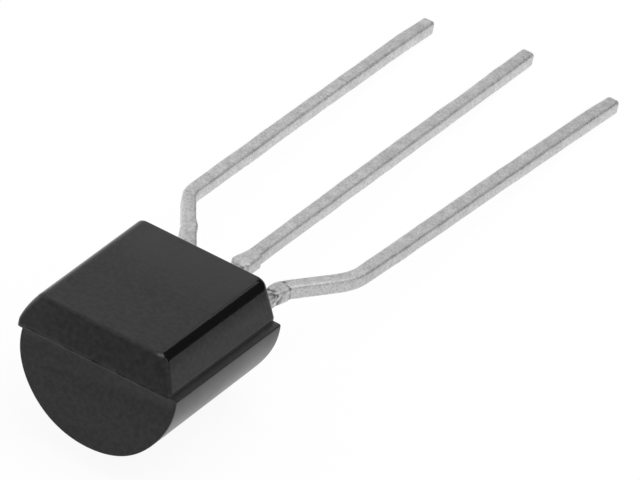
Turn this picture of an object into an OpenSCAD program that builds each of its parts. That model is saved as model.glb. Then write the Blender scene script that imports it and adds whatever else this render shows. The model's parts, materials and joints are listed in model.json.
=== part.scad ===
// TO-92 transistor with formed leads, lying as it rests: the edge of its round back and the tip that
// reaches furthest are on the surface, and the flat face is up. Millimetres.
//
// Each piece is drawn in the package's own frame and then laid down by as_it_lies():
//   x across the leads, y along them from the body's lead end, z out through the flat face,
//   and z = 0 halfway through the thickness of the leads.

/* [Body] */
// Width across the round back, which is also its diameter
body_w = 4.5; // [4.3:0.05:5.4]
// Length of the body along the leads
body_l = 4.85; // [4.4:0.05:5.8]
// Height of the flat face over the middle of the leads
flat_h = 1.25; // [1.05:0.01:1.5]
// Width of the flat face between its side slopes
flat_w = 3.7; // [3.4:0.05:4.1]
// Height of the upright rim between the parting line and the side slopes
rim_h = 0.13; // [0.05:0.01:0.2]
// Lean of both end faces away from the parting line, in degrees
end_draft = 0.5; // [0:0.5:5]
// Rounding of the flat face's edges along its sides
side_edge_r = 0.22; // [0.05:0.01:0.3]
// Rounding of the flat face's edges across its ends
end_edge_r = 0.1; // [0.05:0.01:0.25]
// Rounding of the upright corners of the front half
corner_r = 0.2; // [0.05:0.01:0.3]
// How far the front half of the mould sat to the left of the back half
mould_shift = 0.21; // [0:0.01:0.25]

/* [Leads] */
// Width of a lead
lead_w = 0.36; // [0.3:0.01:0.5]
// Thickness of the lead frame sheet
lead_t = 0.4; // [0.3:0.01:0.48]
// Distance between leads where they leave the body
pitch = 1.27; // [1.15:0.01:1.4]
// Length of the left lead outside the body before it was bent
left_l = 15.45; // [10:0.05:18.5]
// Length of the middle lead outside the body
middle_l = 15.75; // [10:0.05:18.7]
// Length of the right lead outside the body before it was bent
right_l = 15.75; // [10:0.05:18.8]
// Distance from the body to the left lead's first bend
left_bend_at = 1.25; // [0.8:0.05:2]
// Distance from the body to the right lead's first bend
right_bend_at = 1.55; // [0.8:0.05:2]
// Distance of the formed left lead from the middle lead
left_reach = 2.7; // [2.2:0.01:3.2]
// Distance of the formed right lead from the middle lead, just past its bends
right_reach = 2.37; // [2.1:0.01:3]
// Angle that the right lead still leans outwards after its bends, in degrees
right_splay = 2; // [0:0.5:4]
// Angle of the left lead's slanted run between its two bends, in degrees
left_slant = 33; // [25:1:50]
// Angle of the right lead's slanted run between its two bends, in degrees
right_slant = 32; // [25:1:50]
// Radius of the first bends, along the middle of the lead
first_bend_r = 1; // [0.4:0.1:1.4]
// Radius of the left lead's second bend
left_bend_r = 1; // [0.4:0.1:1.8]
// Radius of the right lead's second bend
right_bend_r = 1.6; // [0.4:0.1:1.8]
// Distance along the left lead from the body to the stumps of the trimmed tie bar
left_bar_at = 2; // [1:0.05:2.5]
// Distance along the middle lead from the body to its stumps
middle_bar_at = 1.6; // [1:0.05:2.5]
// Distance along the right lead from the body to its stumps
right_bar_at = 1.05; // [1:0.05:2.5]
// Length of the stumps along a lead
bar_l = 0.7; // [0.3:0.05:0.8]
// How far a stump stands out on each side of a lead
bar_stump = 0.08; // [0.03:0.01:0.15]

/* [Inside the body] */
// Distance from the body's closed end to the die pad
pad_margin = 1; // [0.8:0.05:1.3]
// Width of the die pad
pad_w = 1.6; // [1.2:0.05:2]
// Length of the die pad
pad_l = 1.6; // [1.2:0.05:1.7]
// Width of the neck from the die pad to the middle lead
neck_w = 0.5; // [0.45:0.01:0.6]
// Gap between neighbouring parts of the lead frame
frame_gap = 0.3; // [0.2:0.01:0.35]
// Width of the bonding posts on the outer leads
post_w = 1; // [0.8:0.01:1.1]
// Length of the bonding posts
post_l = 0.8; // [0.5:0.01:0.9]
// Side of the square silicon die
die_w = 0.5; // [0.3:0.01:0.8]
// Thickness of the die
die_t = 0.2; // [0.12:0.01:0.25]
// Thickness of the solder under the die
attach_t = 0.03; // [0.02:0.005:0.05]
// How far the solder reaches out past the die
attach_rim = 0.05; // [0.02:0.01:0.1]
// Diameter of the bond wires
wire_d = 0.05; // [0.03:0.005:0.08]
// Rise of a bond wire over the straight line between its ends
wire_rise = 0.3; // [0.2:0.01:0.4]

/* [Hidden] */

black_epoxy = "#26262a";
tin = "#b9bbbd";
silicon = "#5d6470";
solder = "#8f9296";
gold = "#d9b25a";

round_fn = 96;
wire_fn = 24;
bend_steps = 12;                // flats that make up each bend
past = 1;                       // how far cutting shapes run past what they cut
wire_bite = 2;                  // degrees that a wire's arc runs on into what it is bonded to

back_r = body_w / 2;
part_z = lead_t / 2;            // the parting plane is flush with the front of the lead frame
pad_y = -body_l + pad_margin;   // closed-end edge of the die pad
post_end_y = pad_y + pad_l + frame_gap;
post_x = neck_w / 2 + frame_gap;
die_at = [0, pad_y + pad_l / 2];
die_top = part_z + attach_t + die_t;
bond_pad = die_w / 4;           // distance of each bond from the middle of the die
bond_at = post_l / 3;           // distance of each bond from the inner end of its post
ball_r = wire_d;
ball_h = wire_d / 2;

// A lead follows a path of stations, each [x, y, heading], with the heading in degrees from y to x
function onward(from, distance) =
    [from[0] + distance * sin(from[2]), from[1] + distance * cos(from[2]), from[2]];
function bend(from, radius, angle) =
    [for (i = [1:bend_steps])
        let (heading = from[2] + angle * i / bend_steps, side = sign(angle))
        [from[0] + side * radius * (cos(from[2]) - cos(heading)),
         from[1] + side * radius * (sin(heading) - sin(from[2])), heading]];
function end_of(path) = path[len(path) - 1];
function arc_length(radius, angle) = radius * angle * PI / 180;

// The station some way along a path
function along(path, distance, i = 0) =
    let (leg = norm([path[i + 1][0] - path[i][0], path[i + 1][1] - path[i][1]]))
    distance <= leg || i + 2 == len(path) ? onward(path[i], distance) : along(path, distance - leg, i + 1);

// The path of an outer lead, drawn on the right: out of its bonding post, and through its two bends
function outer_path(length, bend_at, bend_r, reach, slant, splay) =
    let (before = bend_at - first_bend_r * tan(slant / 2),
         slanted = (reach - pitch - first_bend_r * (1 - cos(slant)) - bend_r * (cos(splay) - cos(slant)))
                   / sin(slant),
         after = length - before - arc_length(first_bend_r, slant) - slanted
                 - arc_length(bend_r, slant - splay),
         straight = [[pitch, post_end_y + post_l / 2, 0], [pitch, before, 0]],
         turned_out = bend(straight[1], first_bend_r, slant),
         slope_end = onward(end_of(turned_out), slanted),
         turned_back = bend(slope_end, bend_r, splay - slant))
    concat(straight, turned_out, [slope_end], turned_back, [onward(end_of(turned_back), after)]);

left_path = outer_path(left_l, left_bend_at, left_bend_r, left_reach, left_slant, 0);
middle_path = [[0, pad_y + pad_l / 2, 0], [0, middle_l, 0]];
right_path = outer_path(right_l, right_bend_at, right_bend_r, right_reach, right_slant, right_splay);

// Where the part touches the surface
heel_y = -(back_r + part_z) * tan(end_draft);
far_tip_y = max(end_of(left_path)[1], end_of(middle_path)[1], end_of(right_path)[1]);
rest_tilt = atan((back_r - lead_t / 2) / (far_tip_y - heel_y));

function unit(v) = v / norm(v);

// A convex outline with an arc of its own radius on each corner; radius 0 leaves the corner sharp
module rounded_outline(corners, radii) {
    n = len(corners);
    to_last = [for (i = [0:n - 1]) unit(corners[(i + n - 1) % n] - corners[i])];
    to_next = [for (i = [0:n - 1]) unit(corners[(i + 1) % n] - corners[i])];
    half_angle = [for (i = [0:n - 1]) acos(to_last[i] * to_next[i]) / 2];
    polygon([for (i = [0:n - 1])
        each radii[i] == 0 ? [corners[i]] : [corners[i] + to_last[i] * radii[i] / tan(half_angle[i]),
                                             corners[i] + to_next[i] * radii[i] / tan(half_angle[i])]]);
    for (i = [0:n - 1])
        if (radii[i] > 0)
            translate(corners[i] + unit(to_last[i] + to_next[i]) * radii[i] / sin(half_angle[i]))
                circle(r = radii[i], $fn = round_fn);
}

// An outline in x and z, made a bar along y from one end of the body to the other
module along_body() {
    rotate([90, 0, 0])
        linear_extrude(body_l) children();
}

// An outline in y and z, made a bar along x that is wider than the body
module across_body() {
    rotate([90, 0, 90])
        translate([0, 0, -body_w])
            linear_extrude(2 * body_w) children();
}

module back_half() {
    depth = back_r + part_z;
    lean = depth * tan(end_draft);
    intersection() {
        along_body()
            intersection() {
                circle(r = back_r, $fn = round_fn);
                translate([-back_r - past, -back_r - past])
                    square([body_w + 2 * past, depth + past]);
            }
        across_body()
            polygon([[-body_l, part_z], [-body_l + lean, -back_r], [-lean, -back_r], [0, part_z]]);
    }
}

module front_half() {
    rise = flat_h - part_z;
    lean = rise * tan(end_draft);
    translate([-mould_shift, 0, 0])
        intersection() {
            along_body()
                rounded_outline([[-back_r, part_z], [back_r, part_z], [back_r, part_z + rim_h],
                                 [flat_w / 2, flat_h], [-flat_w / 2, flat_h], [-back_r, part_z + rim_h]],
                                [0, 0, 0, side_edge_r, side_edge_r, 0]);
            across_body()
                rounded_outline([[-body_l, part_z], [0, part_z], [-lean, flat_h], [-body_l + lean, flat_h]],
                                [0, 0, end_edge_r, end_edge_r]);
            linear_extrude(flat_h + past)
                rounded_outline([[-back_r, -body_l], [back_r, -body_l], [back_r, 0], [-back_r, 0]],
                                [corner_r, corner_r, corner_r, corner_r]);
        }
}

// The point at half a lead's width to one side of a station
function edge_point(station, side) =
    [station[0] + side * lead_w / 2 * cos(station[2]), station[1] - side * lead_w / 2 * sin(station[2])];

// The outline of a lead along its path
module strip(path) {
    polygon(concat([for (station = path) edge_point(station, 1)],
                   [for (i = [len(path) - 1:-1:0]) edge_point(path[i], -1)]));
}

// The outline of the stumps on both sides of a lead, at a distance from the body
module stumps(path, bar_at) {
    middle = along(path, bar_at + bar_l / 2 - path[0][1]);
    translate([middle[0], middle[1]])
        rotate([0, 0, -middle[2]])
            square([lead_w + 2 * bar_stump, bar_l], center = true);
}

// Gives outlines the thickness of the lead frame sheet
module stamped() {
    translate([0, 0, -lead_t / 2])
        linear_extrude(lead_t) children();
}

module outer_lead(path, bar_at) {
    stamped() {
        strip(path);
        stumps(path, bar_at);
        translate([post_x, post_end_y])
            square([post_w, post_l]);
    }
}

// A bond wire, from the die to a spot on an outer lead's post
module bond_wire(side) {
    from = [side * bond_pad, die_at[1]];
    to = [side * (post_x + post_w / 2), post_end_y + bond_at];
    across = norm(to - from);
    drop = die_top - part_z;
    span = norm([across, drop]);
    arc_r = (span * span / 4 + wire_rise * wire_rise) / (2 * wire_rise);
    half_turn = asin(span / 2 / arc_r);
    translate([from[0], from[1], die_top]) {
        cylinder(r = ball_r, h = ball_h, $fn = wire_fn);
        difference() {
            rotate([0, 0, atan2(to[1] - from[1], to[0] - from[0])])
                rotate([90, atan2(drop, across), 0])
                    translate([span / 2, wire_rise - arc_r, 0])
                        rotate([0, 0, 90 - half_turn - wire_bite])
                            rotate_extrude(angle = 2 * (half_turn + wire_bite), $fn = round_fn)
                                translate([arc_r, 0]) circle(d = wire_d, $fn = wire_fn);
            translate([-die_w, -die_w, -die_t])
                cube([2 * die_w, 2 * die_w, die_t]);
            translate([-from[0] - pitch - post_w, -from[1] + pad_y, -drop - lead_t])
                cube([2 * (pitch + post_w), body_l, lead_t]);
        }
    }
}

module as_it_lies() {
    rotate([-rest_tilt, 0, 0])
        translate([0, -heel_y, back_r]) children();
}

module collector_in_place() {
    stamped() {
        strip(middle_path);
        stumps(middle_path, middle_bar_at);
        translate([-pad_w / 2, pad_y])
            square([pad_w, pad_l]);
        translate([-neck_w / 2, pad_y + pad_l / 2])
            square([neck_w, -pad_y - pad_l / 2 - frame_gap]);
    }
}

module base_in_place() {
    outer_lead(right_path, right_bar_at);
}

module emitter_in_place() {
    mirror([1, 0, 0])
        outer_lead(left_path, left_bar_at);
}

module die_in_place() {
    translate([die_at[0] - die_w / 2, die_at[1] - die_w / 2, part_z + attach_t])
        cube([die_w, die_w, die_t]);
}

module solder_in_place() {
    wide = die_w + 2 * attach_rim;
    translate([die_at[0] - wide / 2, die_at[1] - wide / 2, part_z])
        cube([wide, wide, attach_t]);
}

module moulded_body() {
    color(black_epoxy)
        as_it_lies()
            difference() {
                union() {
                    back_half();
                    front_half();
                }
                collector_in_place();
                base_in_place();
                emitter_in_place();
                die_in_place();
                solder_in_place();
                bond_wire(1);
                bond_wire(-1);
            }
}

module collector_lead() {
    color(tin) as_it_lies() collector_in_place();
}

module base_lead() {
    color(tin) as_it_lies() base_in_place();
}

module emitter_lead() {
    color(tin) as_it_lies() emitter_in_place();
}

module silicon_die() {
    color(silicon) as_it_lies() die_in_place();
}

module die_solder() {
    color(solder) as_it_lies() solder_in_place();
}

module base_bond_wire() {
    color(gold) as_it_lies() bond_wire(1);
}

module emitter_bond_wire() {
    color(gold) as_it_lies() bond_wire(-1);
}

moulded_body();
collector_lead();
base_lead();
emitter_lead();
silicon_die();
die_solder();
base_bond_wire();
emitter_bond_wire();
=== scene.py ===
import json
import math

import bmesh
import bpy
from mathutils import Matrix, Quaternion, Vector, noise


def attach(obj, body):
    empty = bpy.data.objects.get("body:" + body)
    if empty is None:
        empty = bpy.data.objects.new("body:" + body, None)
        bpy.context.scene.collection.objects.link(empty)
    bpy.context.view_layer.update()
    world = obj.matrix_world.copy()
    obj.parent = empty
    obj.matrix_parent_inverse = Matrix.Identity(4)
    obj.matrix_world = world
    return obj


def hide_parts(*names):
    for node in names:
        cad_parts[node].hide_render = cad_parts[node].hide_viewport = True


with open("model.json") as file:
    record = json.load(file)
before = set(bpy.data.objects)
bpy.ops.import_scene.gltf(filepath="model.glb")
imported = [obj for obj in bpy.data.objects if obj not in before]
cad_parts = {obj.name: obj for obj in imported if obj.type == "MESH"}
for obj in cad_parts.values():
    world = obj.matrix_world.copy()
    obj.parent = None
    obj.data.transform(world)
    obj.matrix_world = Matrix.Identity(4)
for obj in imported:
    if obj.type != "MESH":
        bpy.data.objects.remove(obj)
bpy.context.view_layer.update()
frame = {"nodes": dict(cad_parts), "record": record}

# ----------------------------------------------------------------------------------------------------
# The three leads. They are stamped side by side from one copper alloy strip, tinned after moulding and
# cut free from the tie bar that joined them, which leaves stumps on their sides. A forming tool then
# bends the outer two outwards. Inside the body each ends in its die pad or bonding post.
# ----------------------------------------------------------------------------------------------------
MM = 0.001
LEAD_WIDTH = 0.375            # with its plating
SHEET = 0.4                   # thickness of the strip
PITCH = 1.27
MIDDLE_LENGTH = 15.75         # along the lead, from the body to the tip
RIGHT_LENGTH = 15.75
LEFT_LENGTH = 15.45
MARKED_LENGTH = 3.2           # the stumps, marks and first bends lie within this much of the body
FIRST_BEND_RADIUS = 1.0
PLATED_EDGE = 0.08            # rounding of the lengthwise edges
CUT_EDGE = 0.07               # rounding of the cut tips
PAD_START, PAD_LENGTH, PAD_WIDTH = -3.85, 1.6, 1.6
NECK_WIDTH, NECK_END = 0.5, -0.3
POST_START, POST_LENGTH = -1.95, 0.8
POST_NEAR, POST_FAR = 0.55, 1.55              # from the middle of the package
STUMP_LENGTH = 0.7
STUMP_HEIGHT = 0.08           # of a stump that no tool has rubbed down
SHEAR_WAVE = 0.012            # the sheared sides wander in and out by up to this much

# The part lies on the edge of its round back and on the tip of its middle lead. Every piece is drawn
# in millimetres in the package's own axes, with x across the leads, y along them from the body's lead
# end and z out through the flat, and is then laid down.
mounts = {mount["name"]: mount for mount in frame["record"]["mounts"]}
along_leads = Vector(mounts["collector_pin"]["axis"]).normalized()
out_of_flat = Vector(mounts["marking_flat"]["axis"]).normalized()
across_leads = along_leads.cross(out_of_flat)
lead_end = Vector(mounts["collector_pin"]["pos_m"]) - along_leads * MIDDLE_LENGTH * MM
package_axes = Matrix((across_leads, along_leads, out_of_flat)).transposed().to_4x4()
LYING = Matrix.Translation(lead_end) @ package_axes @ Matrix.Scale(MM, 4)


def srgb(text):
    """A colour written as six hex digits, as the linear colour that a shader takes."""
    channels = [int(text[i:i + 2], 16) / 255 for i in (1, 3, 5)]
    return [c / 12.92 if c <= 0.04045 else ((c + 0.055) / 1.055) ** 2.4 for c in channels] + [1.0]


def add_node(tree, kind, inputs=None, **settings):
    """Adds a node with its settings, and gives each named input a value or a link."""
    node = tree.nodes.new(kind)
    for name, value in settings.items():
        setattr(node, name, value)
    for name, value in (inputs or {}).items():
        if isinstance(value, bpy.types.NodeSocket):
            tree.links.new(value, node.inputs[name])
        else:
            node.inputs[name].default_value = value
    return node


# Matte tin plating over copper alloy: electroplated, so it has a fine dull grain, and rubbed where the
# tools held it. It gives the eye a soft pale grey with small mottling and faint lengthwise streaks. A
# few dark specks near the body are painted shade, in the corners of the stumps and in the creases.
# The crystals of the plating are about 5 microns across and are drawn about twelve times as coarse.
CRYSTAL, PATCH, SPECK = 0.06, 0.3, 0.13
STREAK_WIDTH, STREAK_LENGTH = 0.05, 1.2
tin = bpy.data.materials.new("matte_tin_plating")
tin.use_nodes = True
tree = tin.node_tree
tree.nodes.clear()
place = add_node(tree, "ShaderNodeTexCoord").outputs["Object"]
crystals = add_node(tree, "ShaderNodeTexNoise", {
    "Vector": place, "Scale": 1 / (CRYSTAL * MM), "Detail": 3.0, "Roughness": 0.65}).outputs["Fac"]
patches = add_node(tree, "ShaderNodeTexNoise", {
    "Vector": place, "Scale": 1 / (PATCH * MM), "Detail": 4.0, "Roughness": 0.75}).outputs["Fac"]
drawn_out = add_node(tree, "ShaderNodeMapping", {
    "Vector": place,
    "Scale": (1 / (STREAK_WIDTH * MM), 1 / (STREAK_LENGTH * MM), 1 / (STREAK_WIDTH * MM))}).outputs["Vector"]
streaks = add_node(tree, "ShaderNodeTexNoise", {
    "Vector": drawn_out, "Scale": 1.0, "Detail": 2.0}).outputs["Fac"]
mottle = add_node(tree, "ShaderNodeMix", {"Factor": 0.6, "A": patches, "B": crystals}).outputs["Result"]
tint = add_node(tree, "ShaderNodeValToRGB", {"Fac": mottle})
tint.color_ramp.elements[0].position, tint.color_ramp.elements[0].color = 0.38, srgb("#cfcfd0")
tint.color_ramp.elements[1].position, tint.color_ramp.elements[1].color = 0.62, srgb("#f5f5f5")
# Painted shade: dark specks near the body, where the stumps and creases shade the tin.
specks = add_node(tree, "ShaderNodeTexNoise", {
    "Vector": place, "Scale": 1 / (SPECK * MM), "Detail": 1.0}).outputs["Fac"]
specks = add_node(tree, "ShaderNodeMapRange", {
    "Value": specks, "From Min": 0.46, "From Max": 0.60}).outputs["Result"]
painted_shade = add_node(tree, "ShaderNodeAttribute", attribute_name="painted_shade").outputs["Fac"]
speck_shade = add_node(tree, "ShaderNodeMath", {0: specks, 1: painted_shade}, operation="MULTIPLY").outputs["Value"]
tint = add_node(tree, "ShaderNodeMix", {
    "Factor": speck_shade, "A": tint.outputs["Color"], "B": srgb("#606062")}, data_type="RGBA").outputs["Result"]
dulled = add_node(tree, "ShaderNodeMapRange", {
    "Value": patches, "From Min": 0.3, "From Max": 0.7, "To Min": 0.60, "To Max": 0.68}).outputs["Result"]
relief = add_node(tree, "ShaderNodeMix", {"Factor": 0.35, "A": crystals, "B": streaks}).outputs["Result"]
bump = add_node(tree, "ShaderNodeBump", {"Strength": 0.6, "Distance": 0.006 * MM, "Height": relief})
metal = add_node(tree, "ShaderNodeBsdfPrincipled", {
    "Base Color": tint, "Metallic": 1.0, "Roughness": dulled, "Normal": bump.outputs["Normal"]})
add_node(tree, "ShaderNodeOutputMaterial", {"Surface": metal.outputs["BSDF"]})

# The tree that sweeps a lead along its centre line. Each point of the line holds its heading, how far
# the metal reaches to each side, how much the tip's rounding takes off all round and how proud the
# top stands. The section starts as a square from -1 to 1 with rounded corners. Each of its points is
# split into the corner that it belongs to and its place on that corner's arc, which are then scaled
# apart, so that the rounding stays the same where the metal is wider.
UNIT_ROUNDING = 0.5
sweep = bpy.data.node_groups.new("lead_sweep", "GeometryNodeTree")
for label, kind, value in (("Centre line", "NodeSocketGeometry", None),
                           ("Thickness", "NodeSocketFloat", SHEET),
                           ("Edge rounding", "NodeSocketFloat", PLATED_EDGE),
                           ("Corner steps", "NodeSocketInt", 6), ("Plating", "NodeSocketMaterial", None)):
    socket = sweep.interface.new_socket(label, in_out="INPUT", socket_type=kind)
    if value is not None:
        socket.default_value = value
sweep.interface.new_socket("Lead", in_out="OUTPUT", socket_type="NodeSocketGeometry")
given = add_node(sweep, "NodeGroupInput").outputs
told = {}
for name, kind in (("centre", "FLOAT_VECTOR"), ("section", "FLOAT_VECTOR"), ("heading", "FLOAT"),
                   ("reach_left", "FLOAT"), ("reach_right", "FLOAT"), ("taken_off", "FLOAT"),
                   ("proud", "FLOAT")):
    read = add_node(sweep, "GeometryNodeInputNamedAttribute", {"Name": name}, data_type=kind)
    told[name] = read.outputs["Attribute"]
here = add_node(sweep, "GeometryNodeInputPosition").outputs["Position"]
line = add_node(sweep, "GeometryNodeMeshToCurve", {"Mesh": given["Centre line"]}).outputs["Curve"]
line = add_node(sweep, "GeometryNodeStoreNamedAttribute", {
    "Geometry": line, "Name": "centre", "Value": here}, data_type="FLOAT_VECTOR",
    domain="POINT").outputs["Geometry"]
section = add_node(sweep, "GeometryNodeCurvePrimitiveQuadrilateral", {
    "Width": 2.0, "Height": 2.0}).outputs["Curve"]
section = add_node(sweep, "GeometryNodeFilletCurve", {
    "Curve": section, "Count": given["Corner steps"], "Radius": UNIT_ROUNDING}, mode="POLY").outputs["Curve"]
section = add_node(sweep, "GeometryNodeStoreNamedAttribute", {
    "Geometry": section, "Name": "section", "Value": here}, data_type="FLOAT_VECTOR",
    domain="POINT").outputs["Geometry"]
swept = add_node(sweep, "GeometryNodeCurveToMesh", {
    "Curve": line, "Profile Curve": section, "Fill Caps": True}).outputs["Mesh"]

corner = add_node(sweep, "ShaderNodeVectorMath", {0: told["section"]}, operation="SIGN").outputs["Vector"]
arc_middle = add_node(sweep, "ShaderNodeVectorMath", {
    0: corner, "Scale": 1 - UNIT_ROUNDING}, operation="SCALE").outputs["Vector"]
on_arc = add_node(sweep, "ShaderNodeVectorMath", {
    0: told["section"], 1: arc_middle}, operation="SUBTRACT").outputs["Vector"]
rounding = add_node(sweep, "ShaderNodeMath", {
    0: given["Edge rounding"], 1: UNIT_ROUNDING}, operation="DIVIDE").outputs["Value"]
on_arc = add_node(sweep, "ShaderNodeVectorMath", {
    0: on_arc, "Scale": rounding}, operation="SCALE").outputs["Vector"]
arc = add_node(sweep, "ShaderNodeSeparateXYZ", {0: on_arc}).outputs
side = add_node(sweep, "ShaderNodeSeparateXYZ", {0: corner}).outputs
reach = add_node(sweep, "ShaderNodeMapRange", {
    "Value": side["X"], "From Min": -1.0, "To Min": told["reach_left"],
    "To Max": told["reach_right"]}).outputs["Result"]
less = add_node(sweep, "ShaderNodeMath", {
    0: told["taken_off"], 1: given["Edge rounding"]}, operation="ADD").outputs["Value"]
half_across = add_node(sweep, "ShaderNodeMath", {0: reach, 1: less}, operation="SUBTRACT").outputs["Value"]
half_sheet = add_node(sweep, "ShaderNodeMath", {
    0: given["Thickness"], 1: 0.5}, operation="MULTIPLY").outputs["Value"]
half_up = add_node(sweep, "ShaderNodeMath", {0: half_sheet, 1: less}, operation="SUBTRACT").outputs["Value"]
on_top = add_node(sweep, "ShaderNodeMath", {0: side["Y"], 1: 0.0}, operation="GREATER_THAN").outputs["Value"]
raised = add_node(sweep, "ShaderNodeMath", {
    0: on_top, 1: told["proud"], 2: arc["Y"]}, operation="MULTIPLY_ADD").outputs["Value"]
sideways = add_node(sweep, "ShaderNodeMath", {
    0: side["X"], 1: half_across, 2: arc["X"]}, operation="MULTIPLY_ADD").outputs["Value"]
upwards = add_node(sweep, "ShaderNodeMath", {
    0: side["Y"], 1: half_up, 2: raised}, operation="MULTIPLY_ADD").outputs["Value"]
offset = add_node(sweep, "ShaderNodeCombineXYZ", {"X": sideways, "Z": upwards}).outputs["Vector"]
turned = add_node(sweep, "ShaderNodeVectorRotate", {
    "Vector": offset, "Angle": told["heading"]}, rotation_type="Z_AXIS", invert=True).outputs["Vector"]
spot = add_node(sweep, "ShaderNodeVectorMath", {
    0: told["centre"], 1: turned}, operation="ADD").outputs["Vector"]
shaped = add_node(sweep, "GeometryNodeSetPosition", {"Geometry": swept, "Position": spot}).outputs["Geometry"]
smooth = add_node(sweep, "GeometryNodeSetShadeSmooth", {"Geometry": shaped}).outputs["Geometry"]
solid = add_node(sweep, "GeometryNodeRealizeInstances", {"Geometry": smooth}).outputs["Geometry"]
plated = add_node(sweep, "GeometryNodeSetMaterial", {
    "Geometry": solid, "Material": given["Plating"]}).outputs["Geometry"]
add_node(sweep, "NodeGroupOutput", {"Lead": plated})


def ramp(at, start, end):
    """0 before start, 1 after end, and smooth between."""
    share = min(1.0, max(0.0, (at - start) / (end - start)))
    return share * share * (3 - 2 * share)


def hump(at, middle, width):
    """A smooth rise to 1 and back."""
    return math.exp(-((at - middle) / width) ** 2)


def between(at, start, rise, end, fall):
    """1 from start to end, with a smooth rise after the start and a smooth fall before the end."""
    return ramp(at, start, start + rise) * (1 - ramp(at, end - fall, end))


def straight_line(distance):
    """The middle lead: the place and heading at a distance from the body."""
    return 0.0, distance, 0.0


def outer_line(length, bend_at, bend_radius, reach, slant, splay):
    """An outer lead, drawn on the right: straight out, bent outwards, slanted, bent back, straight on."""
    out, back = math.radians(slant), math.radians(splay)
    first = bend_at - FIRST_BEND_RADIUS * math.tan(out / 2)
    slanted = (reach - PITCH - FIRST_BEND_RADIUS * (1 - math.cos(out))
               - bend_radius * (math.cos(back) - math.cos(out))) / math.sin(out)
    legs = [(first, 0.0), (FIRST_BEND_RADIUS * out, out), (slanted, 0.0),
            (bend_radius * (out - back), back - out), (length, 0.0)]

    def station(distance):
        x, y, heading = PITCH, min(distance, 0.0), 0.0
        left_to_go = max(distance, 0.0)
        for leg, turn in legs:
            gone = min(left_to_go, leg)
            turned_to = heading + turn * gone / leg
            chord = gone if turn == 0 else 2 * leg / abs(turn) * math.sin(abs(turned_to - heading) / 2)
            x += chord * math.sin((heading + turned_to) / 2)
            y += chord * math.cos((heading + turned_to) / 2)
            heading = turned_to
            left_to_go -= gone
        return x, y, heading
    return station


def close_up(mesh):
    """Merges doubled points and turns every face outwards."""
    shell = bmesh.new()
    shell.from_mesh(mesh)
    bmesh.ops.remove_doubles(shell, verts=shell.verts, dist=1e-5)
    bmesh.ops.recalc_face_normals(shell, faces=shell.faces)
    shell.to_mesh(mesh)
    shell.free()


def lay_down(name, mesh, material, cad_node):
    """Turns a mesh from the package's axes into its place, as the piece that stands for a CAD node."""
    close_up(mesh)
    mesh.transform(LYING)
    mesh.name = name
    mesh.materials.clear()
    mesh.materials.append(material)
    piece = bpy.data.objects.new(name, mesh)
    bpy.context.scene.collection.objects.link(piece)
    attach(piece, "root")
    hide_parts(cad_node)


def make_lead(cad_node, station, length, inner_end, widths, marks, shade_spots, mirrored=False):
    """Sweeps one lead from its inner end to its tip.

    widths(distance) gives the metal's reach to both sides, and marks(distance) how proud its top is.
    The stretches of painted shade are given by their place, reach and strength.
    """
    fine, coarse = 0.02, 0.1
    cuts = [CUT_EDGE * (1 - math.cos(math.radians(angle))) for angle in (0, 22, 44, 66, 90)]
    shoulders = [edge + step for edge in (PAD_START + PAD_LENGTH, NECK_END, POST_START + POST_LENGTH)
                 for step in (0, 0.01)]
    distances = [inner_end + cut for cut in cuts] + [place for place in shoulders if place > inner_end]
    distances += [i * fine for i in range(1, round(MARKED_LENGTH / fine))]
    distances += [MARKED_LENGTH + i * coarse for i in range(int((length - MARKED_LENGTH - coarse) / coarse))]
    distances += [length - cut for cut in cuts]
    rows = []
    for distance in sorted({round(d, 4) for d in distances}):
        x, y, heading = station(distance)
        left, right = widths(distance)
        wave = SHEAR_WAVE * ramp(distance, 0.5, 1.5) * (1 - ramp(distance, length - 2.0, length - 0.5))
        wave_place = distance * 1.3                           # so that a wave is about 1.5 mm long
        left += wave * noise.noise(Vector((wave_place, length, 0.0)))
        right += wave * noise.noise(Vector((wave_place, length, 5.0)))
        from_end = min(distance - inner_end, length - distance)
        short = max(0.0, CUT_EDGE - from_end)
        if mirrored:
            x, heading, left, right = -x, -heading, right, left
        taken_off = CUT_EDGE - math.sqrt(max(0.0, CUT_EDGE ** 2 - short ** 2))
        # Painted shade on the tin, strongest at the given places by the stumps and creases.
        painted_shade = max(strength * hump(distance, at, reach) for at, reach, strength in shade_spots)
        rows.append((x, y, heading, left, right, taken_off, marks(distance), painted_shade))
    line_mesh = bpy.data.meshes.new(cad_node + "_line")
    links = [(i, i + 1) for i in range(len(rows) - 1)]
    line_mesh.from_pydata([(row[0], row[1], 0.0) for row in rows], links, [])
    labels = ("heading", "reach_left", "reach_right", "taken_off", "proud", "painted_shade")
    for column, label in enumerate(labels, start=2):
        values = [row[column] for row in rows]
        line_mesh.attributes.new(label, "FLOAT", "POINT").data.foreach_set("value", values)
    holder = bpy.data.objects.new(cad_node + "_line", line_mesh)
    bpy.context.scene.collection.objects.link(holder)
    modifier = holder.modifiers.new("sweep", "NODES")
    modifier.node_group = sweep
    for item in sweep.interface.items_tree:
        if item.name == "Plating":
            modifier[item.identifier] = tin
    made = bpy.data.meshes.new_from_object(holder.evaluated_get(bpy.context.evaluated_depsgraph_get()))
    holder.modifiers.clear()
    bpy.data.objects.remove(holder)
    for label in (*labels[:-1], "centre", "section"):         # the painted shade stays, for the material
        if label in made.attributes:
            made.attributes.remove(made.attributes[label])
    lay_down(cad_node + "_tinned", made, tin, cad_node)


def stump(distance, start, rise=0.05, fall=0.14, height=STUMP_HEIGHT):
    """How far the stump that starts at a distance from the body stands out there."""
    return height * between(distance, start, rise, start + STUMP_LENGTH, fall)


def bonding_post(distance, left, right):
    """The reach to both sides of an outer lead, which is wide where its bonding post is."""
    return (PITCH - POST_NEAR, POST_FAR - PITCH) if distance <= POST_START + POST_LENGTH else (left, right)


def dents(distance, places):
    """The sum of smooth rises, each given by where its middle is, how far it reaches and its height."""
    return sum(height * hump(distance, at, reach) for at, reach, height in places)


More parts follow.
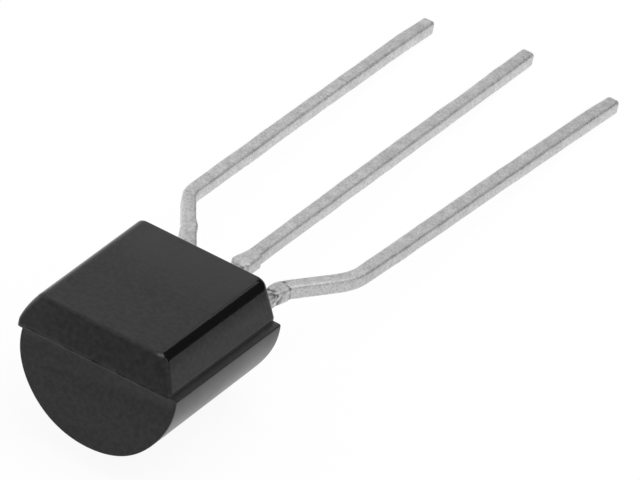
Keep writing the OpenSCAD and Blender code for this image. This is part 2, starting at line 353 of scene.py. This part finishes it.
# The middle lead: the die pad, a neck, and then straight on. Its stumps start bluntly, and the left
# one fades out. The top stands a little proud there, and the shears left shallow waves further along
# the left edge.
COLLECTOR_STUMPS_AT = 1.6
COLLECTOR_WAVES = ((8.2, 2.5, 0.022), (11.33, 0.4, 0.014), (12.6, 0.5, -0.008), (14.25, 0.3, 0.010))


def collector_widths(distance):
    if distance <= PAD_START + PAD_LENGTH:
        return PAD_WIDTH / 2, PAD_WIDTH / 2
    if distance <= NECK_END:
        return NECK_WIDTH / 2, NECK_WIDTH / 2
    left = stump(distance, COLLECTOR_STUMPS_AT, fall=0.62) + dents(distance, COLLECTOR_WAVES)
    right = stump(distance, COLLECTOR_STUMPS_AT, rise=0.1, fall=0.05, height=0.07)
    return LEAD_WIDTH / 2 + left, LEAD_WIDTH / 2 + right


def collector_marks(distance):
    return 0.015 * between(distance, 1.5, 0.14, 2.4, 0.6)


# The painted shade on the middle lead sits at both ends of its stumps.
make_lead("collector_lead", straight_line, MIDDLE_LENGTH, PAD_START, collector_widths, collector_marks,
          shade_spots=((1.45, 0.12, 0.5), (2.6, 0.2, 0.2)))

# The right lead: its stumps lie in its first bend, which nearly smoothed them away. Its long run bows
# inwards a little and is cut wide on the outside, and the shears bent its tip outwards.
BASE_STUMPS_AT = 1.05
BASE_BOW_AT, BASE_BOW_REACH = 9.5, 3.0
BASE_WIDE_FROM, BASE_WIDE_TO = 3.0, 6.0
BASE_TIP = 14.6               # where the bent tip starts


def base_widths(distance):
    tip = ramp(distance, BASE_TIP, RIGHT_LENGTH)
    bow = hump(distance, BASE_BOW_AT, BASE_BOW_REACH)
    wide = ramp(distance, BASE_WIDE_FROM, BASE_WIDE_TO)
    inner = stump(distance, BASE_STUMPS_AT, rise=0.3, fall=0.3, height=0.03) + 0.02 * bow - 0.045 * tip
    outer = (stump(distance, BASE_STUMPS_AT, rise=0.3, fall=0.2, height=0.06) + 0.02 * wide
             - 0.01 * bow + 0.012 * tip)
    return bonding_post(distance, LEAD_WIDTH / 2 + inner, LEAD_WIDTH / 2 + outer)


def base_marks(distance):
    return dents(distance, ((1.2, 0.08, 0.008), (1.66, 0.04, -0.012)))


base_line = outer_line(RIGHT_LENGTH, bend_at=1.55, bend_radius=1.6, reach=2.37, slant=32, splay=1.8)
# The painted shade on the right lead sits at its stumps and in the crease beside them.
make_lead("base_lead", base_line, RIGHT_LENGTH, POST_START, base_widths, base_marks,
          shade_spots=((1.66, 0.05, 0.8), (1.05, 0.25, 0.8)))

# The left lead: its stumps lie on the slanted run, where the forming tool creased the top. Its long
# run is cut a little narrow on the inside, and the shears bent its tip inwards.
EMITTER_INNER_STUMP_AT, EMITTER_OUTER_STUMP_AT = 1.95, 1.85
EMITTER_NARROW_AT, EMITTER_NARROW_REACH = 10.2, 2.2
EMITTER_TIP = 14.0            # where the bent tip starts


def emitter_widths(distance):
    tip = ramp(distance, EMITTER_TIP, LEFT_LENGTH)
    narrow = hump(distance, EMITTER_NARROW_AT, EMITTER_NARROW_REACH)
    inner = (stump(distance, EMITTER_INNER_STUMP_AT, rise=0.3, fall=0.3, height=0.035) - 0.02 * narrow
             + 0.035 * tip)
    outer = stump(distance, EMITTER_OUTER_STUMP_AT, rise=0.1, fall=0.5, height=0.05) - 0.055 * tip
    return bonding_post(distance, LEAD_WIDTH / 2 + inner, LEAD_WIDTH / 2 + outer)


def emitter_marks(distance):
    return dents(distance, ((2.3, 0.05, 0.012), (1.85, 0.03, 0.006), (1.7, 0.03, -0.006)))


emitter_line = outer_line(LEFT_LENGTH, bend_at=1.25, bend_radius=1.0, reach=2.683, slant=33, splay=0)
# The painted shade on the left lead sits by its stumps and creases.
make_lead("emitter_lead", emitter_line, LEFT_LENGTH, POST_START, emitter_widths, emitter_marks,
          shade_spots=((1.6, 0.2, 0.25), (2.42, 0.05, 0.3)), mirrored=True)

# ----------------------------------------------------------------------------------------------------
# The silicon die, soldered to the die pad, and the two gold bond wires from its top to the posts of
# the outer leads. All four are sealed in the epoxy. They keep their exact shapes and get their finish.
# ----------------------------------------------------------------------------------------------------
# Polished silicon with a thin oxide: a dark blue-grey mirror with the faint squares of its pattern.
CELL, HAZE, RIPPLE, DRAW_LINE = 0.12, 0.08, 0.04, 0.01
wafer = bpy.data.materials.new("polished_silicon")
wafer.use_nodes = True
tree = wafer.node_tree
tree.nodes.clear()
place = add_node(tree, "ShaderNodeTexCoord").outputs["Object"]
cells = add_node(tree, "ShaderNodeTexChecker", {
    "Vector": place, "Color1": srgb("#4a5160"), "Color2": srgb("#5d6676"), "Scale": 1 / (CELL * MM)})
haze = add_node(tree, "ShaderNodeTexNoise", {"Vector": place, "Scale": 1 / (HAZE * MM), "Detail": 2.0})
dulled = add_node(tree, "ShaderNodeMapRange", {"Value": haze.outputs["Fac"], "To Min": 0.12, "To Max": 0.22})
silicon = add_node(tree, "ShaderNodeBsdfPrincipled", {
    "Base Color": cells.outputs["Color"], "Metallic": 0.6, "Roughness": dulled.outputs["Result"]})
add_node(tree, "ShaderNodeOutputMaterial", {"Surface": silicon.outputs["BSDF"]})

# Soft solder, melted and set: a grey metal with a slightly rippled skin.
solder = bpy.data.materials.new("soft_solder")
solder.use_nodes = True
tree = solder.node_tree
tree.nodes.clear()
place = add_node(tree, "ShaderNodeTexCoord").outputs["Object"]
ripple = add_node(tree, "ShaderNodeTexNoise", {
    "Vector": place, "Scale": 1 / (RIPPLE * MM), "Detail": 3.0}).outputs["Fac"]
shade = add_node(tree, "ShaderNodeMix", {
    "Factor": ripple, "A": srgb("#9a9da1"), "B": srgb("#b4b6b8")}, data_type="RGBA")
film = add_node(tree, "ShaderNodeBump", {"Strength": 0.5, "Distance": 0.002 * MM, "Height": ripple})
metal = add_node(tree, "ShaderNodeBsdfPrincipled", {
    "Base Color": shade.outputs["Result"], "Metallic": 1.0, "Roughness": 0.4,
    "Normal": film.outputs["Normal"]})
add_node(tree, "ShaderNodeOutputMaterial", {"Surface": metal.outputs["BSDF"]})

# Drawn gold wire: a warm smooth metal with faint lines from the die that it was drawn through.
gold = bpy.data.materials.new("drawn_gold_wire")
gold.use_nodes = True
tree = gold.node_tree
tree.nodes.clear()
place = add_node(tree, "ShaderNodeTexCoord").outputs["Object"]
lines = add_node(tree, "ShaderNodeTexNoise", {
    "Vector": place, "Scale": 1 / (DRAW_LINE * MM), "Detail": 1.0})
shade = add_node(tree, "ShaderNodeMix", {
    "Factor": lines.outputs["Fac"], "A": srgb("#e0b25a"), "B": srgb("#f0c878")}, data_type="RGBA")
metal = add_node(tree, "ShaderNodeBsdfPrincipled", {
    "Base Color": shade.outputs["Result"], "Metallic": 1.0, "Roughness": 0.25})
add_node(tree, "ShaderNodeOutputMaterial", {"Surface": metal.outputs["BSDF"]})

for node_name, material in (("silicon_die", wafer), ("die_solder", solder),
                            ("base_bond_wire", gold), ("emitter_bond_wire", gold)):
    sealed = frame["nodes"][node_name].data
    sealed.materials.clear()
    sealed.materials.append(material)

# ----------------------------------------------------------------------------------------------------
# The body. Black epoxy is transfer moulded round the leads in a two-part mould: the round half behind
# the leads and the flat half in front of them. The halves sat 0.21 mm apart sideways, which leaves a
# ledge along one side and an overhang along the other, and a trace of flash on the parting line.
# ----------------------------------------------------------------------------------------------------
BODY_LENGTH = 4.85
BACK_RADIUS = 2.25
PARTING = 0.2                 # height of the parting plane over the middle of the leads
FLAT_HEIGHT = 1.249           # a hair under the full height
FLAT_WIDTH = 3.7
RIM = 0.13                    # height of the upright rim under the slopes
DRAFT = math.radians(0.5)
SIDE_ROUNDING = 0.27
END_ROUNDING = 0.1
CORNER_AT_PARTING, CORNER_AT_FLAT = 0.1, 0.22
SHARP_CORNER = 0.4            # the far left corner's radius, as a share of the others'
MOULD_SHIFT = 0.21
CREASE_ROUNDING = 0.12
BACK_EDGE_ROUNDING = 0.03
LEDGE_ROUNDING = 0.03
LEFT_SLOPE_CROWN = 0.035      # the worn mould lets the left slope's middle stand out this far
RIGHT_SLOPE_CROWN = 0.005     # and the right slope's upper part this far
WIDENING = 0.04               # the flat half's left side is this much further out at the lead end
# Where the round back is out of round: the turn from its lowest line and how far round that reaches,
# in radians, and how far it stands out there at the closed end and at the lead end.
BACK_BULGES = ((-1.45, 0.45, 0.055, 0.055), (1.05, 0.35, -0.025, -0.055), (0.5, 0.35, 0.03, 0.0))
SUPPORT = 0.03                # distance of the extra line of points that keeps a flat face flat
SLOPE_STEP = 0.1
CREASE_STEPS, EDGE_STEPS, CORNER_ARC_STEPS, BACK_STEPS = 6, 14, 8, 96
TUCK = 0.06                   # how far the flat half runs down into the round half

SLOPE = math.atan2(BACK_RADIUS - FLAT_WIDTH / 2, FLAT_HEIGHT - PARTING - RIM)
CREASE = PARTING + RIM
CREASE_RUN = CREASE_ROUNDING * math.tan(SLOPE / 2)
EDGE_MIDDLE_Z = FLAT_HEIGHT - SIDE_ROUNDING
EDGE_START_Z = EDGE_MIDDLE_Z + SIDE_ROUNDING * math.sin(SLOPE)
EDGE_MIDDLE_X = BACK_RADIUS - (SIDE_ROUNDING + math.sin(SLOPE) * (EDGE_MIDDLE_Z - CREASE)) / math.cos(SLOPE)


def half_width(z):
    """Half the width of the flat half at a height: upright rim, crease, slope, rounding."""
    if z <= CREASE - CREASE_RUN:
        return BACK_RADIUS
    if z < CREASE + CREASE_RUN * math.cos(SLOPE):
        turn = math.asin(min(1.0, (z - CREASE + CREASE_RUN) / CREASE_ROUNDING))
        return BACK_RADIUS - CREASE_ROUNDING * (1 - math.cos(turn))
    if z <= EDGE_START_Z:
        return BACK_RADIUS - (z - CREASE) * math.tan(SLOPE)
    return EDGE_MIDDLE_X + math.sqrt(max(0.0, SIDE_ROUNDING ** 2 - (z - EDGE_MIDDLE_Z) ** 2))


def end_inset(z):
    """How far the flat half's end faces stand back from the parting line at a height."""
    up = max(0.0, z - (FLAT_HEIGHT - END_ROUNDING))
    return (z - PARTING) * math.tan(DRAFT) + END_ROUNDING - math.sqrt(max(0.0, END_ROUNDING ** 2 - up ** 2))


def level_ring(half, near, far, usual_radius, z, bulges=(0.0, 0.0)):
    """A level rectangle with rounded corners and a supporting point beside each rounding.

    The far left corner is sharper, bulges is how far the left and the right side stand out, and the
    left side widens towards the lead end.
    """
    points = []
    for quarter, (side, end) in enumerate(((1, far), (-1, far), (-1, near), (1, near))):
        start = math.pi / 2 * quarter
        radius = usual_radius * (SHARP_CORNER if (side, end) == (-1, far) else 1)
        x, y = side * (half - radius), end + (radius if end == near else -radius)
        turns = [start + i * math.pi / 2 / CORNER_ARC_STEPS for i in range(CORNER_ARC_STEPS + 1)]
        arc = [(x + radius * math.cos(turn), y + radius * math.sin(turn)) for turn in turns]
        points += [(arc[0][0] + SUPPORT * math.sin(start), arc[0][1] - SUPPORT * math.cos(start)), *arc,
                   (arc[-1][0] - SUPPORT * math.cos(start), arc[-1][1] - SUPPORT * math.sin(start))]
    ring = []
    for x, y in points:
        further_out = -bulges[0] - WIDENING * (1 + y / BODY_LENGTH) if x < 0 else bulges[1]
        ring.append((x - MOULD_SHIFT + further_out, y, z))
    return ring


def skin(rings):
    """A closed mesh through rings of points, all of the same count, with a flat cap on both ends."""
    count = len(rings[0])
    faces = []
    for first in range(0, (len(rings) - 1) * count, count):
        for i in range(count):
            beside = (i + 1) % count
            faces.append([first + i, first + beside, first + count + beside, first + count + i])
    faces += [list(range(count)), [(len(rings) - 1) * count + i for i in range(count)]]
    return [point for ring in rings for point in ring], faces


def flat_half():
    """Level rings, from inside the round half up to the flat."""
    slope_levels = int((EDGE_START_Z - CREASE) / SLOPE_STEP)
    levels = [PARTING - TUCK, PARTING, PARTING + SUPPORT, CREASE - CREASE_RUN - SUPPORT / 2]
    levels += [CREASE - CREASE_RUN + i / CREASE_STEPS * CREASE_RUN * (1 + math.cos(SLOPE))
               for i in range(CREASE_STEPS + 1)]
    levels += [CREASE + CREASE_RUN + SUPPORT + i * SLOPE_STEP for i in range(slope_levels)]
    levels += [EDGE_START_Z - SUPPORT]
    levels += [EDGE_MIDDLE_Z + SIDE_ROUNDING * math.sin(SLOPE + i / EDGE_STEPS * (math.pi / 2 - SLOPE))
               for i in range(EDGE_STEPS + 1)]
    levels += [FLAT_HEIGHT - END_ROUNDING * (1 - math.sin(math.radians(angle)))
               for angle in (0, 15, 30, 45, 60, 75)]
    rings, last = [], -1.0
    for z in sorted(levels):
        if z - last < 0.0004:                                 # too close to the ring below
            continue
        last = z
        inset = end_inset(max(z, PARTING))
        share = ramp(z, PARTING, FLAT_HEIGHT)
        radius = CORNER_AT_PARTING + share * (CORNER_AT_FLAT - CORNER_AT_PARTING)
        up_slope = min(1.0, max(0.0, (z - CREASE) / (EDGE_START_Z - CREASE)))
        crown = 4 * up_slope * (1 - up_slope)                 # highest, at 1, halfway up
        high_crown = 6.75 * up_slope ** 2 * (1 - up_slope)    # highest, at 1, two thirds up
        bulges = (LEFT_SLOPE_CROWN * crown, RIGHT_SLOPE_CROWN * high_crown)
        rings.append(level_ring(half_width(z), -BODY_LENGTH + inset, -inset, radius, z, bulges))
    inset = end_inset(FLAT_HEIGHT) + SUPPORT
    rings.append(level_ring(half_width(FLAT_HEIGHT) - SUPPORT, -BODY_LENGTH + inset, -inset, CORNER_AT_FLAT,
                            FLAT_HEIGHT))
    return skin(rings)


def round_half():
    """Upright rings, from the closed end to the lead end."""
    half_open = math.acos(-PARTING / BACK_RADIUS)
    angles = [half_open * (2 * i / BACK_STEPS - 1) for i in range(1, BACK_STEPS)]
    side = BACK_RADIUS * math.sin(half_open)
    rim = [(side, PARTING - LEDGE_ROUNDING), (side - 0.3 * LEDGE_ROUNDING, PARTING - 0.3 * LEDGE_ROUNDING),
           (side - LEDGE_ROUNDING, PARTING), (side - LEDGE_ROUNDING - SUPPORT, PARTING)]
    outline = [(-x, z) for x, z in reversed(rim)]
    outline += [(BACK_RADIUS * math.sin(a), -BACK_RADIUS * math.cos(a)) for a in angles] + rim
    turns = [math.radians(angle) for angle in (0, 15, 30, 45, 60, 75, 90)]
    steps = [(0.0, BACK_EDGE_ROUNDING + SUPPORT)]         # each is how far along and how far inwards
    steps += [(BACK_EDGE_ROUNDING * (1 - math.cos(turn)), BACK_EDGE_ROUNDING * (1 - math.sin(turn)))
              for turn in turns]
    steps += [(BACK_EDGE_ROUNDING + SUPPORT, 0.0)]

    def upright_ring(along, inwards, at_lead_end):
        points = []
        for x, z in outline:
            turn = math.atan2(x, -z)
            out_of_round = sum((at_lead if at_lead_end else at_closed) * hump(turn, middle, reach)
                               for middle, reach, at_closed, at_lead in BACK_BULGES)
            shrunk = 1 - (inwards - out_of_round) / math.hypot(x, z - PARTING)
            lean = (PARTING - z) * math.tan(DRAFT) + along
            y = -lean if at_lead_end else lean - BODY_LENGTH
            points.append((x * shrunk, y, PARTING + (z - PARTING) * shrunk))
        return points
    closed_end = [upright_ring(along, inwards, False) for along, inwards in steps]
    lead_end_rings = [upright_ring(along, inwards, True) for along, inwards in reversed(steps)]
    return skin(closed_end + lead_end_rings)


def flash():
    """The thin broken line of flash on the closed end: a strip with a ragged edge.

    It has long and short wisps, and two longer flakes, one left of the middle and one on the right.
    """
    half_line, step = 2.2, 0.02
    rings = []
    for i in range(round(2 * half_line / step) + 1):
        x = -half_line + i * step
        long_wisp = 0.05 * max(0.0, noise.noise(Vector((x * 2.3, 4.1, 0.7))) - 0.05)
        short_wisp = 0.006 * max(0.0, noise.noise(Vector((x * 9.0, 1.3, 2.9))))
        flakes = 0.028 * (hump(x, -0.16, 0.22) + 0.7 * hump(x, 1.2, 0.14))
        edge = -BODY_LENGTH - (0.002 + (long_wisp + short_wisp) + flakes)
        root = SUPPORT - BODY_LENGTH
        rings.append([(x, root, PARTING - 0.012), (x, edge, PARTING - 0.006),
                      (x, edge, PARTING + 0.004), (x, root, PARTING + 0.01)])
    return skin(rings)


# Black moulding compound: epoxy filled with fine silica, moulded in a steel cavity whose faces are
# spark eroded and whose long edges are polished by wear. It gives the eye a deep grey-black with a
# dull sheen, a fine mottled grain and smoother, glossier edges along the flat. The rims and ledges
# are painted paler, as painted light that lifts the shade in those creases, and the flat has a grey
# painted sheen that grows towards the leads. The spark pits are about 10 microns across and the
# silica grains about 30, and both are drawn about four times as coarse.
PIT, GRAIN, CLOUD = 0.04, 0.13, 0.9
# A painted sheen: the flat grows paler towards the leads, where its edges catch the light.
SHEEN_START, SHEEN_FULL = -2.4, 0.4           # along the body, from its lead end
# Painted light on the rims and ledges: paler paint that lifts the shade in the creases between the halves.
RIM_PAINTED_LIGHT, LEDGE_PAINTED_LIGHT = 0.6, 0.3
compound = bpy.data.materials.new("black_moulding_compound")
compound.use_nodes = True
tree = compound.node_tree
tree.nodes.clear()
place = add_node(tree, "ShaderNodeTexCoord").outputs["Object"]
pits = add_node(tree, "ShaderNodeTexNoise", {
    "Vector": place, "Scale": 1 / (PIT * MM), "Detail": 4.0, "Roughness": 0.6}).outputs["Fac"]
clouds = add_node(tree, "ShaderNodeTexNoise", {
    "Vector": place, "Scale": 1 / (CLOUD * MM), "Detail": 3.0, "Roughness": 0.55}).outputs["Fac"]
worn = add_node(tree, "ShaderNodeAttribute", attribute_name="worn_edge").outputs["Fac"]
painted_rim_light = add_node(tree, "ShaderNodeAttribute", attribute_name="rim_and_ledge_light").outputs["Fac"]
grain = add_node(tree, "ShaderNodeTexNoise", {
    "Vector": place, "Scale": 1 / (GRAIN * MM), "Detail": 4.0, "Roughness": 0.6}).outputs["Fac"]
grain = add_node(tree, "ShaderNodeMapRange", {
    "Value": grain, "From Min": 0.39, "From Max": 0.61}).outputs["Result"]
tone = add_node(tree, "ShaderNodeMix", {
    "Factor": grain, "A": srgb("#000000"), "B": srgb("#1d1d1e")}, data_type="RGBA").outputs["Result"]
along = add_node(tree, "ShaderNodeSeparateXYZ", {0: place}).outputs["Y"]
towards_leads = add_node(tree, "ShaderNodeMapRange", {
    "Value": along, "From Min": SHEEN_START * MM, "From Max": SHEEN_FULL * MM},
    interpolation_type="SMOOTHSTEP").outputs["Result"]
facing = add_node(tree, "ShaderNodeSeparateXYZ", {
    0: add_node(tree, "ShaderNodeNewGeometry").outputs["Normal"]}).outputs["Z"]
on_flat = add_node(tree, "ShaderNodeMapRange", {
    "Value": facing, "From Min": 0.93, "From Max": 0.99}).outputs["Result"]
patchy = add_node(tree, "ShaderNodeMapRange", {
    "Value": clouds, "From Min": 0.3, "From Max": 0.7, "To Min": 0.5, "To Max": 1.0}).outputs["Result"]
# Painted sheen on the flat, paler towards the leads and in patches.
painted_sheen = add_node(tree, "ShaderNodeMath", {
    0: towards_leads, 1: on_flat}, operation="MULTIPLY").outputs["Value"]
painted_sheen = add_node(tree, "ShaderNodeMath", {0: painted_sheen, 1: patchy}, operation="MULTIPLY").outputs["Value"]
tone = add_node(tree, "ShaderNodeMix", {
    "Factor": painted_sheen, "A": tone, "B": srgb("#2d2d2e")}, data_type="RGBA").outputs["Result"]
tone = add_node(tree, "ShaderNodeMix", {
    "Factor": worn, "A": tone, "B": srgb("#161617")}, data_type="RGBA").outputs["Result"]
# Painted light: the rims and ledges are paler, to lift their shade.
tone = add_node(tree, "ShaderNodeMix", {
    "Factor": painted_rim_light, "A": tone, "B": srgb("#525254")}, data_type="RGBA").outputs["Result"]
dulled = add_node(tree, "ShaderNodeMapRange", {
    "Value": clouds, "From Min": 0.3, "From Max": 0.7, "To Min": 0.30, "To Max": 0.36}).outputs["Result"]
dulled = add_node(tree, "ShaderNodeMix", {"Factor": worn, "A": dulled, "B": 0.16}).outputs["Result"]
bump = add_node(tree, "ShaderNodeBump", {"Strength": 0.3, "Distance": 0.003 * MM, "Height": pits})
plastic = add_node(tree, "ShaderNodeBsdfPrincipled", {
    "Base Color": tone, "Roughness": dulled, "IOR": 1.55, "Specular IOR Level": 0.5,
    "Normal": bump.outputs["Normal"]})
add_node(tree, "ShaderNodeOutputMaterial", {"Surface": plastic.outputs["BSDF"]})

points, faces = [], []
for part_points, part_faces in (round_half(), flat_half(), flash()):
    faces += [[i + len(points) for i in face] for face in part_faces]
    points += part_points
body = bpy.data.meshes.new("epoxy_body")
body.from_pydata(points, [], faces)
body.shade_smooth()
for polygon in body.polygons:
    polygon.use_smooth = len(polygon.vertices) == 4       # the flat ends stay flat
worn_edge, rim_and_ledge_light = [], []
for x, y, z in [vertex.co for vertex in body.vertices]:
    on_side = abs(abs(x + MOULD_SHIFT) - half_width(min(z, FLAT_HEIGHT))) < LEFT_SLOPE_CROWN
    worn_edge.append(1.0 if on_side and EDGE_START_Z - 0.001 < z < FLAT_HEIGHT - 0.0005 else 0.0)
    # The rims and ledges carry painted light, paler paint where the creases are in shade.
    on_rim = on_side and PARTING - TUCK < z < CREASE - CREASE_RUN + 0.001
    on_ledge = abs(z - PARTING) < LEDGE_ROUNDING + 0.001 and abs(x) > 2
    rim_and_ledge_light.append(RIM_PAINTED_LIGHT if on_rim else LEDGE_PAINTED_LIGHT if on_ledge else 0.0)
body.attributes.new("worn_edge", "FLOAT", "POINT").data.foreach_set("value", worn_edge)
body.attributes.new("rim_and_ledge_light", "FLOAT", "POINT").data.foreach_set("value", rim_and_ledge_light)
lay_down("epoxy_body", body, compound, "moulded_body")

# ----------------------------------------------------------------------------------------------------
# The table: a sheet of smooth white paper that the transistor lies loose on. It keeps the shadow, and
# all round it is an even white, which lights the part less than it shows.
# ----------------------------------------------------------------------------------------------------
def seen_directly(tree):
    """1 for what is seen, straight, in a mirror or through glass, and 0 for what lights the part."""
    path = add_node(tree, "ShaderNodeLightPath").outputs
    seen = add_node(tree, "ShaderNodeMath", {
        0: path["Is Camera Ray"], 1: path["Is Glossy Ray"]}, operation="ADD").outputs["Value"]
    return add_node(tree, "ShaderNodeMath", {
        0: seen, 1: path["Is Transmission Ray"]}, operation="ADD", use_clamp=True).outputs["Value"]


# Smooth white paper: nearly even, with the faintest cloudiness of its fibres.
FIBRE_CLOUD = 0.4
paper = bpy.data.materials.new("white_paper")
paper.use_nodes = True
tree = paper.node_tree
tree.nodes.clear()
place = add_node(tree, "ShaderNodeTexCoord").outputs["Object"]
fibres = add_node(tree, "ShaderNodeTexNoise", {
    "Vector": place, "Scale": 1 / (FIBRE_CLOUD * MM), "Detail": 2.0})
tone = add_node(tree, "ShaderNodeMix", {
    "Factor": fibres.outputs["Fac"], "A": srgb("#ececec"), "B": srgb("#f2f2f2")}, data_type="RGBA")
lit_paper = add_node(tree, "ShaderNodeBsdfDiffuse", {"Color": tone.outputs["Result"]})
shadow_keeper = add_node(tree, "ShaderNodeBsdfDiffuse", {"Color": srgb("#5a5a5a")})
white = add_node(tree, "ShaderNodeEmission", {"Color": srgb("#ffffff"), "Strength": 0.92})
seen_paper = add_node(tree, "ShaderNodeAddShader", {
    0: shadow_keeper.outputs["BSDF"], 1: white.outputs["Emission"]})
surface = add_node(tree, "ShaderNodeMixShader", {
    0: seen_directly(tree), 1: lit_paper.outputs["BSDF"], 2: seen_paper.outputs["Shader"]})
add_node(tree, "ShaderNodeOutputMaterial", {"Surface": surface.outputs["Shader"]})

FLOOR_REACH = 1.5             # metres, to each side
floor_mesh = bpy.data.meshes.new("floor")
floor_corners = [(x * FLOOR_REACH, y * FLOOR_REACH, 0) for x, y in ((-1, -1), (1, -1), (1, 1), (-1, 1))]
floor_mesh.from_pydata(floor_corners, [], [(0, 1, 2, 3)])
floor_mesh.materials.append(paper)
floor = bpy.data.objects.new("floor", floor_mesh)
bpy.context.scene.collection.objects.link(floor)

surround = bpy.data.worlds.new("white_surround")
bpy.context.scene.world = surround
surround.use_nodes = True
tree = surround.node_tree
tree.nodes.clear()
level = add_node(tree, "ShaderNodeMapRange", {"Value": seen_directly(tree), "To Min": 0.55, "To Max": 1.0})
sky = add_node(tree, "ShaderNodeBackground", {"Color": srgb("#ffffff"), "Strength": level.outputs["Result"]})
add_node(tree, "ShaderNodeOutputWorld", {"Surface": sky.outputs["Background"]})

# ----------------------------------------------------------------------------------------------------
# The light: one large soft lamp overhead, and felt-covered cards that only reflections see. The dark
# ones draw the black line on the rounded edges and take the glare off the tin, and the pale ones,
# some of them close to the body, shade its faces softly from end to end.
# ----------------------------------------------------------------------------------------------------
SOFTBOX_SIZE = 0.5            # this and the cards' places are in metres
SOFTBOX_PLACE = (0.15, 0.09, 0.6)
SOFTBOX_WATTS = 1.2
softbox_data = bpy.data.lights.new("overhead_softbox", "AREA")
softbox_data.size = SOFTBOX_SIZE
softbox_data.energy = SOFTBOX_WATTS
softbox = bpy.data.objects.new("overhead_softbox", softbox_data)
softbox.location = SOFTBOX_PLACE
softbox.rotation_euler = (-Vector(softbox.location)).to_track_quat("-Z", "Y").to_euler()
bpy.context.scene.collection.objects.link(softbox)


def felt(name, lighter, darker):
    """Pressed felt: quite matt and nearly even, with a faint cloudiness of its nap, 2 mm across."""
    cloth = bpy.data.materials.new(name)
    cloth.use_nodes = True
    tree = cloth.node_tree
    tree.nodes.clear()
    place = add_node(tree, "ShaderNodeTexCoord").outputs["Object"]
    nap = add_node(tree, "ShaderNodeTexNoise", {"Vector": place, "Scale": 1 / (2 * MM)})
    tone = add_node(tree, "ShaderNodeMix", {
        "Factor": nap.outputs["Fac"], "A": srgb(darker), "B": srgb(lighter)}, data_type="RGBA")
    nap_surface = add_node(tree, "ShaderNodeBsdfDiffuse", {"Color": tone.outputs["Result"]})
    add_node(tree, "ShaderNodeOutputMaterial", {"Surface": nap_surface.outputs["BSDF"]})
    return cloth


def card(name, cloth, corners):
    """A card through four places, in metres, which only reflections see."""
    sheet = bpy.data.meshes.new(name)
    sheet.from_pydata(corners, [], [(0, 1, 2, 3)])
    sheet.materials.append(cloth)
    piece = bpy.data.objects.new(name, sheet)
    bpy.context.scene.collection.objects.link(piece)
    piece.visible_camera = piece.visible_diffuse = piece.visible_shadow = piece.visible_transmission = False


def upright(foot_a, foot_b, bottom, top):
    """The corners of an upright card over the line between two places on the table."""
    return [(*foot_a, bottom), (*foot_b, bottom), (*foot_b, top), (*foot_a, top)]


def lying_flat(near_left, far_right, height):
    """The corners of a level card from its near left one to its far right one, over the table."""
    (left, near), (right, far) = near_left, far_right
    return [(left, near, height), (right, near, height), (right, far, height), (left, far, height)]


FRONT_Y = -0.0088             # the cards in front stand on this line, 4 mm from the closed end
FRONT_LEFT, FRONT_SEAM, FRONT_RIGHT = (-0.05, FRONT_Y), (-0.0036, FRONT_Y), (0.004, FRONT_Y)
LOW, HIGH = 0.0042, 0.06      # the tops of the lower and the upper cards
RIGHT_FOOT = (0.0180, 0.0040)
BEHIND_FOOT = (-0.043, 0.112)
black_felt = felt("black_felt", "#080808", "#050505")
grey_felt = felt("grey_felt", "#d2d2d2", "#cacaca")
white_felt = felt("white_felt", "#f4f4f4", "#efefef")
card("dark_card_behind", black_felt, upright(BEHIND_FOOT, (0.116, 0.031), 0.0, 0.12))
card("pale_card_behind", white_felt, upright((-0.116, 0.031), BEHIND_FOOT, 0.008, 0.088))
card("pale_card_overhead", white_felt, lying_flat((-0.12, FRONT_Y), (0.0, 0.1), HIGH))
card("dark_card_on_the_right", black_felt, upright((0.0068, 0.0166), RIGHT_FOOT, 0.0, 0.01))
card("pale_card_at_the_corner", white_felt, upright(RIGHT_FOOT, FRONT_RIGHT, 0.0, 0.02))
card("grey_card_in_front", grey_felt, upright(FRONT_SEAM, FRONT_RIGHT, 0.0, LOW))
card("pale_card_in_front_left", white_felt, upright(FRONT_LEFT, FRONT_SEAM, 0.0, LOW))
card("pale_card_on_the_floor", white_felt, lying_flat((-0.012, FRONT_Y), (0.004, -0.0052), 0.0001))
card("pale_card_in_front_high", white_felt, upright(FRONT_LEFT, FRONT_RIGHT, LOW, HIGH))

bpy.context.scene.view_settings.view_transform = "Standard"

# ----------------------------------------------------------------------------------------------------
# The camera: a long lens close over the table, which looks down on the closed end from the front right
# and is rolled a little, so that the leads run away to the upper right.
# ----------------------------------------------------------------------------------------------------
AIM = Vector((0.7525, 4.5376, 1.6747)) * MM
CAMERA_AZIMUTH, CAMERA_ELEVATION, CAMERA_ROLL = (math.radians(angle) for angle in (28.091, 39.092, 7.639))
CAMERA_DISTANCE = 0.256615
SENSOR_WIDTH, FOCAL_LENGTH = 36, 577.27       # millimetres
lens = bpy.data.cameras.new("camera")
lens.sensor_width = SENSOR_WIDTH
lens.lens = FOCAL_LENGTH
lens.clip_start, lens.clip_end = 0.01, 10
camera = bpy.data.objects.new("camera", lens)
towards_camera = Vector((math.sin(CAMERA_AZIMUTH) * math.cos(CAMERA_ELEVATION),
                         -math.cos(CAMERA_AZIMUTH) * math.cos(CAMERA_ELEVATION), math.sin(CAMERA_ELEVATION)))
camera.location = AIM + towards_camera * CAMERA_DISTANCE
camera.rotation_mode = "QUATERNION"
camera.rotation_quaternion = (-towards_camera).to_track_quat("-Z", "Y") @ Quaternion((0, 0, 1), CAMERA_ROLL)
bpy.context.scene.collection.objects.link(camera)
bpy.context.scene.camera = camera
